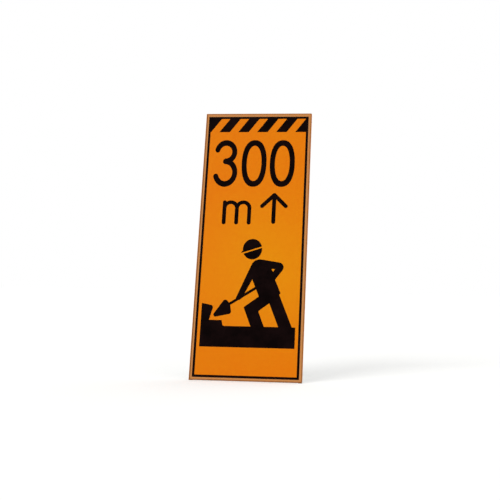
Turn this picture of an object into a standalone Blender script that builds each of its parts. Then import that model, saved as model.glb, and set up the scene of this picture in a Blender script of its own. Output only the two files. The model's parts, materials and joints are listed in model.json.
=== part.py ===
# A self-standing road works sign in metres, +Z up, its face towards -Y.
# A folded steel face sits on a welded frame of square tube. The frame leans back
# on a prop that turns on two hinge brackets and stops with its heels against them.
# The board has its own frame: X across, Y from the face to the back, Z up the face.

import math

import bmesh
import bpy
from mathutils import Matrix, Vector

# Face and film
face_width = 0.550
face_height = 1.400
sheet = 0.0005
flange_depth = 0.0185
bend_radius = 0.0015
corner_notch = 0.002
relief_slot = 0.001
hem_depth = 0.0018
hem_radius = 0.0008
film = 0.0004
film_margin = 0.002
film_corner = 0.0015

# Square tube of the frame and the prop
tube = 0.019
tube_wall = 0.0012
tube_corner = 0.002
lower_rail_height = 0.467
hinge_rail_height = 0.942

# Stance
lean = math.radians(15)
prop_angle = math.radians(15)
face_clearance = 0.002

# Hinge brackets and prop
plate = 0.003
plate_bend = 0.002
ear_radius = 0.013
weld_step = 0.003
hinge_inset = 0.055
heel = 0.018
upper_bar_drop = 0.230
lower_bar_rise = 0.110

# Pivot fasteners
bolt_radius = 0.004
hex_flats = 0.013
bolt_head = 0.0053
nut_height = 0.008
bolt_tail = 0.002
washer_radius = 0.008
washer = 0.0016
sleeve_radius = 0.006
spacer_radius = 0.010
spacer = 0.001

# Feet pushed into the tube ends
foot_thin_side = 0.003
foot_edge = 0.0006
insert_length = 0.022
insert_core = 0.0055
insert_play = 0.0005
fin = 0.0012
fin_lead = 0.0019
fin_count = 4
groove = 0.0008
groove_width = 0.002
groove_pitch = 0.0045
groove_count = 3

# Blind rivets through the flanges
rivet_radius = 0.002
rivet_head_radius = 0.004
rivet_dome = 0.0013
rivet_bulb_radius = 0.0029
rivet_bulb = 0.0035
rivet_shoulder = 0.0005
rivet_nose = 0.001
rivet_end_margin = 0.045
side_rivets = 5
top_rivet_margin = 0.090
top_rivets = 3

# Gap between pieces that touch on the real sign
seat_gap = 0.0003

# Flat steps that stand for round surfaces
corner_steps = 3
plate_bend_steps = 4
ear_steps = 24
ear_hole_steps = 24
dome_steps = 3
rivet_steps = 12
pivot_steps = 20
smooth_limit = math.radians(35)
weld_distance = 0.00001

# Places that follow from the sizes above
frame_front = sheet + seat_gap
frame_middle = frame_front + tube / 2
frame_back = frame_front + tube
stile_x = face_width / 2 - sheet - seat_gap - tube / 2
stile_inside = stile_x - tube / 2
stile_top = face_height - bend_radius
rail_top_height = face_height - sheet - seat_gap - tube / 2
sole_at_back = (frame_back * math.sin(lean) - face_clearance) / math.cos(lean)
stile_bottom = sole_at_back + foot_thin_side + seat_gap
open_angle = lean + prop_angle
hinge_face = frame_back + seat_gap + plate
pivot_back = hinge_face + heel * math.sin(open_angle) + tube / 2 * math.cos(open_angle) + seat_gap
pivot_up = hinge_rail_height - heel * math.cos(open_angle) + tube / 2 * math.sin(open_angle)
pivot_height = face_clearance + pivot_up * math.cos(lean) - pivot_back * math.sin(lean)
pivot_depth = pivot_up * math.sin(lean) + pivot_back * math.cos(lean)
arm_reach = pivot_height - tube / 2 * math.sin(prop_angle)
arm_length = arm_reach / math.cos(prop_angle) - foot_thin_side - seat_gap
hinge_x = stile_inside - hinge_inset - tube / 2
ear_gap = tube + 2 * spacer + 4 * seat_gap
front_edge = film_margin * math.sin(lean) - (film + seat_gap) * math.cos(lean)
sole_rear_rise = pivot_height + tube / 2 * math.sin(prop_angle)
back_edge = pivot_depth + tube / 2 * math.cos(prop_angle) + sole_rear_rise * math.tan(prop_angle)
depth_middle = (front_edge + back_edge) / 2

sides = ((-1, "left"), (1, "right"))


def clear_scene():
    for item in list(bpy.data.objects):
        bpy.data.objects.remove(item, do_unlink=True)


def make_collection(name):
    collection = bpy.data.collections.new(name)
    bpy.context.scene.collection.children.link(collection)
    return collection


def make_material(name, colour, roughness, metallic=0.0):
    material = bpy.data.materials.new(name)
    material.use_nodes = True
    shader = material.node_tree.nodes["Principled BSDF"]
    shader.inputs["Base Color"].default_value = (*colour, 1.0)
    shader.inputs["Roughness"].default_value = roughness
    shader.inputs["Metallic"].default_value = metallic
    material.diffuse_color = (*colour, 1.0)
    return material


def make_empty(name, location, turn_x, parent=None):
    empty = bpy.data.objects.new(name, None)
    sign.objects.link(empty)
    empty.parent = parent
    empty.location = location
    empty.rotation_euler = (turn_x, 0.0, 0.0)
    return empty


def mesh_from(bm, name):
    mesh = bpy.data.meshes.new(name)
    bm.to_mesh(mesh)
    bm.free()
    return mesh


def add_piece(name, mesh, material, parent, location=(0, 0, 0), rotation=(0, 0, 0)):
    piece = bpy.data.objects.new(name, mesh)
    mesh.materials.clear()
    mesh.materials.append(material)
    sign.objects.link(piece)
    piece.parent = parent
    piece.location = location
    piece.rotation_euler = rotation
    return piece


def add_cutter(name, mesh, parent, location=(0, 0, 0), rotation=(0, 0, 0)):
    cutter = bpy.data.objects.new(name, mesh)
    cutters.objects.link(cutter)
    cutter.parent = parent
    cutter.location = location
    cutter.rotation_euler = rotation
    cutter.hide_render = True
    cutter.display_type = "WIRE"
    return cutter


def combine(piece, other, operation):
    step = piece.modifiers.new(other.name, "BOOLEAN")
    step.operation = operation
    step.solver = "EXACT"
    step.object = other


def solidify(piece, thickness):
    # the wall grows inwards from the modelled surface
    step = piece.modifiers.new("thickness", "SOLIDIFY")
    step.thickness = thickness
    step.offset = -1.0
    step.use_even_offset = True


def round_edges(piece, width, segments, degrees=60):
    step = piece.modifiers.new("rounding", "BEVEL")
    step.width = width
    step.segments = segments
    step.limit_method = "ANGLE"
    step.angle_limit = math.radians(degrees)


def smooth(mesh):
    mesh.shade_smooth()
    mesh.set_sharp_from_angle(angle=smooth_limit)


def rods_mesh(name, radius, length, places, segments):
    # one round rod along each place's own Z, its middle on the place
    bm = bmesh.new()
    for place in places:
        bmesh.ops.create_cone(
            bm,
            cap_ends=True,
            segments=segments,
            radius1=radius,
            radius2=radius,
            depth=length,
            matrix=place,
        )
    return mesh_from(bm, name)


def finished_mesh(piece, name):
    # the shape with its modifiers worked in, as a plain mesh
    bpy.context.view_layer.update()
    graph = bpy.context.evaluated_depsgraph_get()
    mesh = bpy.data.meshes.new_from_object(piece.evaluated_get(graph))
    mesh.name = name
    return mesh


def add_copies(places, mesh, material):
    # one object for each named place, all with the same mesh
    smooth(mesh)
    for name, place in places.items():
        piece = add_piece(name, mesh, material, board)
        piece.matrix_local = place


def turned_mesh(name, profile, steps):
    # a closed turned solid: the profile is (radius, height), run down its outer side
    bm = bmesh.new()
    points = [bm.verts.new((radius, 0.0, height)) for radius, height in profile]
    for upper, lower in zip(points, points[1:]):
        bm.edges.new((upper, lower))
    blank = bpy.data.objects.new(name, mesh_from(bm, name))
    cutters.objects.link(blank)
    turn = blank.modifiers.new("turn", "SCREW")
    turn.axis = "Z"
    turn.steps = steps
    turn.render_steps = steps
    turn.use_merge_vertices = True
    turn.merge_threshold = weld_distance
    mesh = finished_mesh(blank, name)
    bpy.data.objects.remove(blank, do_unlink=True)
    return mesh


def outline_mesh(name, points, thickness):
    # a flat closed outline in its own XY, thickened evenly both ways along Z
    curve = bpy.data.curves.new(name, "CURVE")
    curve.dimensions = "2D"
    curve.fill_mode = "BOTH"
    curve.extrude = thickness / 2
    line = curve.splines.new("POLY")
    line.points.add(len(points) - 1)
    for spot, (across, up) in zip(line.points, points):
        spot.co = (across, up, 0.0, 1.0)
    line.use_cyclic_u = True
    blank = bpy.data.objects.new(name, curve)
    cutters.objects.link(blank)
    mesh = finished_mesh(blank, name)
    bpy.data.objects.remove(blank, do_unlink=True)
    bm = bmesh.new()
    bm.from_mesh(mesh)
    bmesh.ops.remove_doubles(bm, verts=bm.verts, dist=weld_distance)
    bmesh.ops.recalc_face_normals(bm, faces=bm.faces)
    bm.to_mesh(mesh)
    bm.free()
    return mesh


def arc_points(middle, radius, start, end, count):
    points = []
    for index in range(count + 1):
        angle = start + (end - start) * index / count
        across = middle[0] + radius * math.cos(angle)
        up = middle[1] + radius * math.sin(angle)
        points.append((across, up))
    return points


def spread(first, last, count):
    return [first + (last - first) * index / (count - 1) for index in range(count)]


# Film and face

def reflective_sheet():
    width = face_width - 2 * film_margin
    height = face_height - 2 * film_margin
    bm = bmesh.new()
    bmesh.ops.create_cube(bm, size=1.0)
    bmesh.ops.scale(bm, vec=Vector((width, film, height)), verts=bm.verts)
    corners = [edge for edge in bm.edges if abs((edge.verts[0].co - edge.verts[1].co).y) > film / 2]
    bmesh.ops.bevel(bm, geom=corners, offset=film_corner, segments=corner_steps, profile=0.5, affect="EDGES")
    place = (0, -seat_gap - film / 2, face_height / 2)
    add_piece("reflective_sheet", mesh_from(bm, "reflective_sheet"), film_orange, board, place)


def face_blank(columns, rows):
    # the flat sheet as a grid of cells between the given lines
    bm = bmesh.new()
    bmesh.ops.create_grid(bm, x_segments=len(columns) - 1, y_segments=len(rows) - 1, size=0.5)
    for vert in bm.verts:
        column = round((vert.co.x + 0.5) * (len(columns) - 1))
        row = round((vert.co.y + 0.5) * (len(rows) - 1))
        vert.co = Vector((columns[column], 0.0, rows[row]))
    return bm


def fold(bm, edges, step):
    # pull the edges out by one step and give back the new far edges
    result = bmesh.ops.extrude_edge_only(bm, edges=edges)
    moved = [item for item in result["geom"] if isinstance(item, bmesh.types.BMVert)]
    bmesh.ops.translate(bm, vec=Vector(step), verts=moved)
    far = set(moved)
    new_edges = [item for item in result["geom"] if isinstance(item, bmesh.types.BMEdge)]
    return [edge for edge in new_edges if edge.verts[0] in far and edge.verts[1] in far]


def middle_of(edge):
    return (edge.verts[0].co + edge.verts[1].co) / 2


def face_panel():
    half = face_width / 2
    hem_half = stile_inside - hem_depth
    hem_height = stile_bottom - relief_slot
    slot_start = stile_bottom
    flange_start = slot_start + relief_slot
    flange_end = face_height - corner_notch
    columns = [-half, corner_notch - half, -hem_half, hem_half, half - corner_notch, half]
    rows = [0.0, slot_start, flange_start, flange_end, face_height]
    bm = face_blank(columns, rows)
    reliefs = []
    for cell in bm.faces:
        middle = cell.calc_center_median()
        at_side = abs(middle.x) > half - corner_notch
        if at_side and (middle.z > flange_end or slot_start < middle.z < flange_start):
            reliefs.append(cell)
    bmesh.ops.delete(bm, geom=reliefs, context="FACES")
    edge_of_sheet = [edge for edge in bm.edges if edge.is_boundary]
    side_edges = []
    top_edges = []
    hem_edges = []
    for edge in edge_of_sheet:
        middle = middle_of(edge)
        if abs(middle.x) > half - weld_distance and middle.z > flange_start:
            side_edges.append(edge)
        elif middle.z > face_height - weld_distance:
            top_edges.append(edge)
        elif middle.z < weld_distance and abs(middle.x) < hem_half:
            hem_edges.append(edge)
    fold(bm, side_edges, (0, flange_depth, 0))
    fold(bm, top_edges, (0, flange_depth, 0))
    hem_backs = fold(bm, hem_edges, (0, hem_depth, 0))
    fold(bm, hem_backs, (0, 0, hem_height))
    bends = side_edges + top_edges
    hems = hem_edges + hem_backs
    bmesh.ops.bevel(bm, geom=bends, offset=bend_radius, segments=corner_steps, profile=0.5, affect="EDGES")
    bmesh.ops.bevel(bm, geom=hems, offset=hem_radius, segments=corner_steps, profile=0.5, affect="EDGES")
    bmesh.ops.recalc_face_normals(bm, faces=bm.faces)
    widest = max(bm.faces, key=lambda cell: cell.calc_area())
    if widest.normal.y > 0:
        bmesh.ops.reverse_faces(bm, faces=bm.faces)
    panel = add_piece("face_panel", mesh_from(bm, "face_panel"), sign_orange, board)
    solidify(panel, sheet)
    combine(panel, rivet_holes, "DIFFERENCE")


# Frame

def square_tube(name, length, material, parent, location, rotation=(0, 0, 0), middle=0.0):
    # an open-ended tube along its own Z
    bm = bmesh.new()
    bmesh.ops.create_cube(bm, size=1.0)
    bmesh.ops.scale(bm, vec=Vector((tube, tube, length)), verts=bm.verts)
    bmesh.ops.translate(bm, vec=Vector((0, 0, middle)), verts=bm.verts)
    ends = [side for side in bm.faces if abs(side.normal.z) > 0.5]
    bmesh.ops.delete(bm, geom=ends, context="FACES_ONLY")
    piece = add_piece(name, mesh_from(bm, name), material, parent, location, rotation)
    round_edges(piece, tube_corner, corner_steps)
    solidify(piece, tube_wall)
    return piece


def stile(name, side):
    length = stile_top - stile_bottom
    place = (side * stile_x, frame_middle, stile_bottom + length / 2)
    piece = square_tube(name, length, galvanised, board, place)
    combine(piece, rivet_holes, "DIFFERENCE")


def rail(name, height):
    length = 2 * (stile_inside - seat_gap)
    return square_tube(name, length, galvanised, board, (0, frame_middle, height), (0, math.pi / 2, 0))


# Rivets

def rivet_places():
    places = {}
    for side, word in sides:
        turn = Matrix.Rotation(side * math.pi / 2, 4, "Y")
        heights = spread(rivet_end_margin, face_height - rivet_end_margin, side_rivets)
        for count, height in enumerate(heights, 1):
            place = Matrix.Translation((side * face_width / 2, frame_middle, height)) @ turn
            places[f"rivet_{word}_{count}"] = place
    reach = stile_inside - top_rivet_margin
    for count, across in enumerate(spread(-reach, reach, top_rivets), 1):
        places[f"rivet_top_{count}"] = Matrix.Translation((across, frame_middle, face_height))
    return places


def rivet_pattern():
    # heights count from the outer face of the flange, outwards
    grip = sheet + seat_gap + tube_wall + seat_gap
    profile = [(0.0, seat_gap + rivet_dome)]
    for step in range(1, dome_steps):
        angle = math.pi / 2 * step / dome_steps
        profile.append((rivet_head_radius * math.sin(angle), seat_gap + rivet_dome * math.cos(angle)))
    profile += [
        (rivet_head_radius, seat_gap),
        (rivet_radius, seat_gap),
        (rivet_radius, -grip),
        (rivet_bulb_radius, -grip - rivet_shoulder),
        (rivet_bulb_radius, rivet_nose - grip - rivet_bulb),
        (0.0, -grip - rivet_bulb),
    ]
    return turned_mesh("rivet", profile, rivet_steps)


def make_rivet_holes():
    radius = rivet_radius + seat_gap
    depth = 2 * (sheet + tube_wall + 2 * seat_gap)
    mesh = rods_mesh("rivet_holes", radius, depth, rivet_places().values(), rivet_steps)
    return add_cutter("rivet_holes", mesh, board)


# Feet

def insert_mesh():
    # a square core with thin fins, turned in four steps and set square to the tube
    reach = tube / 2 - tube_wall - insert_play
    root = math.sqrt(2)
    core = insert_core * root
    rim = reach * root
    pitch = insert_length / fin_count
    profile = [(0.0, insert_length), (core, insert_length)]
    for index in range(fin_count):
        top = insert_length - fin_lead - index * pitch
        profile += [(core, top), (rim, top), (rim, top - fin), (core, top - fin)]
    profile += [(core, -foot_thin_side / 2), (0.0, -foot_thin_side / 2)]
    mesh = turned_mesh("foot_insert", profile, 4)
    mesh.transform(Matrix.Rotation(math.pi / 4, 4, "Z"))
    return mesh


def foot_head_mesh(slope):
    # the head below the tube end: thin at its +Y side, its sole cut to the slope
    bm = bmesh.new()
    bmesh.ops.create_cube(bm, size=1.0)
    bmesh.ops.scale(bm, vec=Vector((tube, tube, 1.0)), verts=bm.verts)
    for vert in bm.verts:
        if vert.co.z > 0:
            vert.co.z = -seat_gap
        else:
            vert.co.z = -seat_gap - foot_thin_side - (tube / 2 - vert.co.y) * math.tan(slope)
    corners = [edge for edge in bm.edges if abs((edge.verts[0].co - edge.verts[1].co).normalized().z) > 0.9]
    bmesh.ops.bevel(bm, geom=corners, offset=tube_corner, segments=corner_steps, profile=0.5, affect="EDGES")
    return mesh_from(bm, "foot_head")


def groove_cutter(name, slope, parent, location, rotation):
    # bars that cross the sole and cut its grooves
    bm = bmesh.new()
    drop = seat_gap + foot_thin_side + tube / 2 * math.tan(slope)
    for index in range(groove_count):
        across = (index - (groove_count - 1) / 2) * groove_pitch
        bmesh.ops.create_cube(bm, size=1.0)
        bar = bm.verts[-8:]
        bmesh.ops.scale(bm, vec=Vector((2 * tube, groove_width, 2 * groove)), verts=bar)
        bmesh.ops.translate(bm, vec=Vector((0, across, 0)), verts=bar)
    bmesh.ops.rotate(bm, cent=(0, 0, 0), matrix=Matrix.Rotation(slope, 3, "X"), verts=bm.verts)
    bmesh.ops.translate(bm, vec=Vector((0, 0, -drop)), verts=bm.verts)
    return add_cutter(name, mesh_from(bm, name), parent, location, rotation)


def foot(name, slope, parent, location, turn):
    rotation = (0, 0, turn)
    piece = add_piece(name, foot_head_mesh(slope), black_plastic, parent, location, rotation)
    round_edges(piece, foot_edge, 1, 50)
    insert = add_cutter(name + "_insert", insert_mesh(), parent, location, rotation)
    combine(piece, insert, "UNION")
    combine(piece, groove_cutter(name + "_grooves", slope, parent, location, rotation), "DIFFERENCE")


# Hinge brackets, in a frame whose origin is the pivot

def ear_outline():
    # the bracket seen from its side: across is Y, up is Z
    front = frame_back + seat_gap - pivot_back
    shoulder = hinge_face + plate_bend - pivot_back
    top = hinge_rail_height + tube / 2 - weld_step - pivot_up
    to_shoulder = math.atan2(top, shoulder)
    tangent = to_shoulder - math.acos(ear_radius / math.hypot(top, shoulder))
    points = [(front, -ear_radius)]
    points += arc_points((0, 0), ear_radius, -math.pi / 2, tangent, ear_steps)
    points += [(shoulder, top), (front, top)]
    return points


def hinge_bracket(name, side):
    place = (side * hinge_x, pivot_back, pivot_up)
    half = ear_gap / 2
    web = hinge_face - pivot_back
    reach = 2 * ear_radius
    bm = bmesh.new()
    corners = [(-half, reach), (-half, web), (half, web), (half, reach)]
    verts = [bm.verts.new((across, back, -reach)) for across, back in corners]
    line = [bm.edges.new(pair) for pair in zip(verts, verts[1:])]
    fold(bm, line, (0, 0, 3 * reach))
    bends = [edge for edge in bm.edges if len(edge.link_faces) == 2]
    bmesh.ops.bevel(bm, geom=bends, offset=plate_bend, segments=plate_bend_steps, profile=0.5, affect="EDGES")
    bmesh.ops.recalc_face_normals(bm, faces=bm.faces)
    middle_face = min(bm.faces, key=lambda strip: abs(strip.calc_center_median().x))
    if middle_face.normal.y < 0:
        bmesh.ops.reverse_faces(bm, faces=bm.faces)
    bracket = add_piece(name, mesh_from(bm, name), galvanised_plate, board, place)
    solidify(bracket, plate)
    blank_mesh = outline_mesh(name + "_side", ear_outline(), 2 * ear_gap)
    # the outline's own X and Y become the bracket's Y and Z
    blank_mesh.transform(Matrix.Rotation(math.pi / 2, 4, "Z") @ Matrix.Rotation(math.pi / 2, 4, "X"))
    combine(bracket, add_cutter(name + "_side", blank_mesh, board, place), "INTERSECT")
    across = Matrix.Rotation(math.pi / 2, 4, "Y")
    hole = rods_mesh(name + "_hole", bolt_radius + seat_gap, 3 * ear_gap, [across], ear_hole_steps)
    combine(bracket, add_cutter(name + "_hole", hole, board, place), "DIFFERENCE")


# Pivot fasteners, each pattern along its own Z with the pivot's middle at its origin

def pivot_places(name, offset=0.0):
    # one place at each hinge, this far out from its middle towards the stile
    places = {}
    for side, word in sides:
        turn = Matrix.Rotation(side * math.pi / 2, 4, "Y")
        middle = Matrix.Translation((side * hinge_x, pivot_back, pivot_up))
        places[f"{name}_{word}"] = middle @ turn @ Matrix.Translation((0, 0, offset))
    return places


def both_faces(name, distance):
    # places on the outer and the inner side of each hinge
    return pivot_places(name + "_outer", distance) | pivot_places(name + "_inner", -distance)


def ring_pattern(name, inner, outer, thickness):
    half = thickness / 2
    profile = [(inner, half), (outer, half), (outer, -half), (inner, -half), (inner, half)]
    return turned_mesh(name, profile, pivot_steps)


def hex_mesh(name, height, middle):
    bm = bmesh.new()
    radius = hex_flats / math.sqrt(3)
    place = Matrix.Translation((0, 0, middle))
    bmesh.ops.create_cone(
        bm, cap_ends=True, segments=6, radius1=radius, radius2=radius, depth=height, matrix=place
    )
    return mesh_from(bm, name)


def shaped(name, mesh, other_mesh, operation):
    # one shape combined with another and kept as a plain mesh
    piece = add_cutter(name, mesh, None)
    other = add_cutter(name + "_other", other_mesh, None)
    combine(piece, other, operation)
    result = finished_mesh(piece, name)
    bpy.data.objects.remove(piece, do_unlink=True)
    bpy.data.objects.remove(other, do_unlink=True)
    return result


def bolt_pattern(clamp_face):
    head_start = clamp_face + washer + 2 * seat_gap
    tail = clamp_face + washer + 2 * seat_gap + nut_height + bolt_tail
    overlap = bolt_head / 2
    shank_length = tail + head_start + overlap
    middle = Matrix.Translation((0, 0, (head_start + overlap - tail) / 2))
    head = hex_mesh("bolt_head", bolt_head, head_start + bolt_head / 2)
    shank = rods_mesh("bolt_shank", bolt_radius, shank_length, [middle], pivot_steps)
    return shaped("bolt", head, shank, "UNION")


def nut_pattern():
    block = hex_mesh("nut_block", nut_height, 0.0)
    bore = rods_mesh("nut_bore", bolt_radius + seat_gap, 2 * nut_height, [Matrix()], pivot_steps)
    return shaped("nut", block, bore, "DIFFERENCE")


def pivot_fasteners():
    clamp_face = ear_gap / 2 + plate
    bore = bolt_radius + seat_gap
    sleeve = ring_pattern("sleeve", bore, sleeve_radius, ear_gap - 2 * seat_gap)
    add_copies(pivot_places("pivot_sleeve"), sleeve, zinc_steel)
    add_copies(pivot_places("pivot_bolt"), bolt_pattern(clamp_face), zinc_steel)
    disc = ring_pattern("washer", bore, washer_radius, washer)
    add_copies(both_faces("pivot_washer", clamp_face + seat_gap + washer / 2), disc, zinc_steel)
    nut_seat = clamp_face + washer + 2 * seat_gap + nut_height / 2
    add_copies(pivot_places("pivot_nut", -nut_seat), nut_pattern(), zinc_steel)
    pad = ring_pattern("spacer", sleeve_radius + seat_gap, spacer_radius, spacer)
    add_copies(both_faces("pivot_spacer", tube / 2 + seat_gap + spacer / 2), pad, white_nylon)


# Prop, in a frame whose origin is on the pivot and whose Z runs up the arms

def prop_arm(name, side):
    length = heel + arm_length
    place = (side * hinge_x, 0, 0)
    arm = square_tube(name, length, galvanised, prop, place, middle=(heel - arm_length) / 2)
    across = Matrix.Rotation(math.pi / 2, 4, "Y")
    hole = rods_mesh(name + "_hole", sleeve_radius + seat_gap, 2 * tube, [across], pivot_steps)
    combine(arm, add_cutter(name + "_hole", hole, prop, place), "DIFFERENCE")


def prop_bar(name, height):
    length = 2 * (hinge_x - tube / 2 - seat_gap)
    square_tube(name, length, galvanised, prop, (0, 0, height), (0, math.pi / 2, 0))


clear_scene()
sign = make_collection("road_works_sign")
cutters = make_collection("cutters")

film_orange = make_material("film_orange", (0.80, 0.22, 0.007), 0.35)
sign_orange = make_material("sign_orange", (0.72, 0.19, 0.010), 0.40)
galvanised = make_material("galvanised", (0.52, 0.54, 0.55), 0.42, 0.9)
galvanised_plate = make_material("galvanised_plate", (0.48, 0.50, 0.52), 0.45, 0.9)
zinc_steel = make_material("zinc_steel", (0.62, 0.62, 0.60), 0.30, 1.0)
rivet_zinc = make_material("rivet_zinc", (0.66, 0.67, 0.68), 0.35, 1.0)
white_nylon = make_material("white_nylon", (0.80, 0.79, 0.74), 0.50)
black_plastic = make_material("black_plastic", (0.018, 0.018, 0.019), 0.55)

board = make_empty("board_frame", (0, -depth_middle, face_clearance), -lean)
prop = make_empty("prop_pivot", (0, pivot_back, pivot_up), open_angle, board)

rivet_holes = make_rivet_holes()
reflective_sheet()
face_panel()
add_copies(rivet_places(), rivet_pattern(), rivet_zinc)

rail("rail_bottom", stile_bottom + tube / 2)
rail("rail_lower", lower_rail_height)
rail("rail_hinge", hinge_rail_height)
top_rail = rail("rail_top", rail_top_height)
combine(top_rail, rivet_holes, "DIFFERENCE")

for side, word in sides:
    stile(f"stile_{word}", side)
    foot(f"front_foot_{word}", lean, board, (side * stile_x, frame_middle, stile_bottom), 0)
    hinge_bracket(f"hinge_bracket_{word}", side)
    prop_arm(f"prop_arm_{word}", side)
    foot(f"rear_foot_{word}", prop_angle, prop, (side * hinge_x, 0, -arm_length), math.pi)

pivot_fasteners()
prop_bar("prop_bar_upper", -upper_bar_drop)
prop_bar("prop_bar_lower", lower_bar_rise - arm_length)
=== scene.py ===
# The looks of a leaning road works sign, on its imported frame: reflective film and its
# printing, painted and galvanised steel, weld beads, rivets and the prop's fasteners.

import json
import math

import bpy
from mathutils import Matrix, Quaternion, Vector, noise


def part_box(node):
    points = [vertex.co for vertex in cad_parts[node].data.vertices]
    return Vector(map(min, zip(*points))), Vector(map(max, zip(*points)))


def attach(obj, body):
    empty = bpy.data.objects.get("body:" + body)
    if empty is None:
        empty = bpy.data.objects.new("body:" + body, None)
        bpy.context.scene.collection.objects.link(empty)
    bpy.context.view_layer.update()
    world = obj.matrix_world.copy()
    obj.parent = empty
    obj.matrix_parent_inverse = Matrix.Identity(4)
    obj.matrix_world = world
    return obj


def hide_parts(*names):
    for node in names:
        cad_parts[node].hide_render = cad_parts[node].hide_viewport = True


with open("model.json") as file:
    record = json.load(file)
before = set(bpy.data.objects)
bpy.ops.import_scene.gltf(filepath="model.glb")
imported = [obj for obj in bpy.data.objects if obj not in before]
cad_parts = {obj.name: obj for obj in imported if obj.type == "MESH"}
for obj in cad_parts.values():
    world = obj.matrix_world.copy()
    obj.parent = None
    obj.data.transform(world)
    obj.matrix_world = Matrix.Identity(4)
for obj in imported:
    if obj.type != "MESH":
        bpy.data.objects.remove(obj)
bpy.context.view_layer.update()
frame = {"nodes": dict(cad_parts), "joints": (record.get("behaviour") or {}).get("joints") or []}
print("frame loaded,", len(frame["nodes"]), "nodes")


# Places, worked out from the frame

def middleOf(node):
    low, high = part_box(node)
    return (low + high) / 2


def sizeOf(node):
    low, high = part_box(node)
    return high - low


board = {
    "lean": math.radians(15),
    "width": 0.550,
    "height": 1.400,
    "filmMiddle": 0.0005,  # how far the film's middle lies before the sheet's front
    "filmFront": 0.0007,
    "bendRadius": 0.0015,
    "sheet": 0.0005,
}

# board frame: X across, Y from the face to the back, Z up the face from its lower edge
boardPlace = (
    Matrix.Translation(middleOf("reflective_sheet"))
    @ Matrix.Rotation(-board["lean"], 4, "X")
    @ Matrix.Translation((0, board["filmMiddle"], -board["height"] / 2))
)
# face frame: X across, Y up the face, Z out of it, on the film's front
facePlace = (
    boardPlace
    @ Matrix.Translation((0, -board["filmFront"], 0))
    @ Matrix.Rotation(math.pi / 2, 4, "X")
)
# prop frame: its origin between the hinges, Z up the arms
pivot = Vector(frame["joints"][0]["pos_m"])
propPlace = Matrix.Translation(pivot) @ Matrix.Rotation(board["lean"], 4, "X")

sides = ((-1, "left"), (1, "right"))
rails = ("rail_bottom", "rail_lower", "rail_hinge", "rail_top")
bars = ("prop_bar_upper", "prop_bar_lower")
tube = sizeOf("stile_left").x
stileInside = middleOf("stile_right").x - tube / 2
armInside = middleOf("prop_arm_right").x - tube / 2
hingeX = middleOf("pivot_sleeve_right").x


def onBoard(node):
    return boardPlace.inverted() @ middleOf(node)


def onProp(node):
    return propPlace.inverted() @ middleOf(node)


def hingePlace(side):
    # Z runs from the hinge's middle out towards the stile
    return Matrix.Translation((side * hingeX, pivot.y, pivot.z)) @ Matrix.Rotation(side * math.pi / 2, 4, "Y")


# The photograph's camera, solved from the four corners of the face

photoCamera = {
    "eye": (0.649, -1.472, 4.732),  # across, up and out from the middle of the face
    "aim": (-0.0087, -0.0416, 0),
    "roll": math.radians(1.02),
    "lens": 72,
    "sensor": 36,
}


def placeCamera():
    faceMiddle = facePlace @ Matrix.Translation((0, board["height"] / 2, 0))
    eye = faceMiddle @ Vector(photoCamera["eye"])
    aim = faceMiddle @ Vector(photoCamera["aim"])
    bpy.ops.object.camera_add(location=eye)
    camera = bpy.context.object
    camera.name = "photoCamera"
    camera.data.sensor_width = photoCamera["sensor"]
    camera.data.lens = photoCamera["lens"]
    camera.rotation_mode = "QUATERNION"
    turn = (aim - eye).to_track_quat("-Z", "Y")
    camera.rotation_quaternion = turn @ Quaternion((0, 0, 1), photoCamera["roll"])
    bpy.context.scene.camera = camera


bpy.ops.object.select_all(action="DESELECT")
placeCamera()
print("camera placed")


# Materials: a colour is written as sRGB hex, a node is added with its settings and links,
# and a look's inner dictionaries are the settings of one node each, its sizes in metres

def linear(hexColour):
    channels = []
    for start in (1, 3, 5):
        value = int(hexColour[start:start + 2], 16) / 255
        channels.append(value / 12.92 if value <= 0.04045 else ((value + 0.055) / 1.055) ** 2.4)
    return (*channels, 1.0)


def wire(tree, node, links):
    # each source is a socket, or a node whose first output is meant
    for name, source in links.items():
        socket = source.outputs[0] if isinstance(source, bpy.types.Node) else source
        tree.links.new(socket, node.inputs[name])


def adjust(node, settings):
    # a setting is the value of one of the node's sockets, or else its own property
    for name, value in settings.items():
        if isinstance(name, int) or name in node.inputs:
            node.inputs[name].default_value = value
        else:
            setattr(node, name, value)


def addNode(tree, kind, settings, links):
    node = tree.nodes.new("ShaderNode" + kind)
    adjust(node, settings)
    wire(tree, node, links)
    return node


def newMaterial(name, place):
    # the material's tree, its shader and coordinates in metres in the given place's frame
    material = bpy.data.materials.new(name)
    material.use_nodes = True
    tree = material.node_tree
    shader = tree.nodes["Principled BSDF"]
    where = addNode(tree, "TexCoord", {}, {}).outputs["Object"]
    turn = {"vector_type": "TEXTURE", "Location": place.translation, "Rotation": place.to_euler()}
    return material, tree, shader, addNode(tree, "Mapping", turn, {"Vector": where})


def addPatches(tree, shader, spot, look):
    # two tones in patches, a gloss that follows the patches or the grain, and the grain's bumps
    made = {}
    for part in ("patch", "grain"):
        if part in look:
            made[part] = addNode(tree, "TexNoise", look[part], {"Vector": spot})
    patches = addNode(tree, "MapRange", look["patches"], {"Value": made["patch"]})
    first, second = (linear(tone) for tone in look["tones"])
    tones = {"data_type": "RGBA", 6: first, 7: second}
    made["tone"] = addNode(tree, "Mix", tones, {0: patches}).outputs[2]
    rough = addNode(tree, "MapRange", look["roughness"], {"Value": made[look["glossOf"]]})
    wire(tree, shader, {"Base Color": made["tone"], "Roughness": rough})
    if "bump" in look:
        made["skin"] = addNode(tree, "Bump", look["bump"], {"Height": made["grain"]})
        wire(tree, shader, {"Normal": made["skin"]})
    adjust(shader, look["shader"])
    return made


def patchyMaterial(name, place, look):
    material, tree, shader, spot = newMaterial(name, place)
    addPatches(tree, shader, spot, look)
    return material


def dress(node, material):
    frame["nodes"][node].material_slots[0].material = material


# Modelling steps that several pieces share

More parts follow.
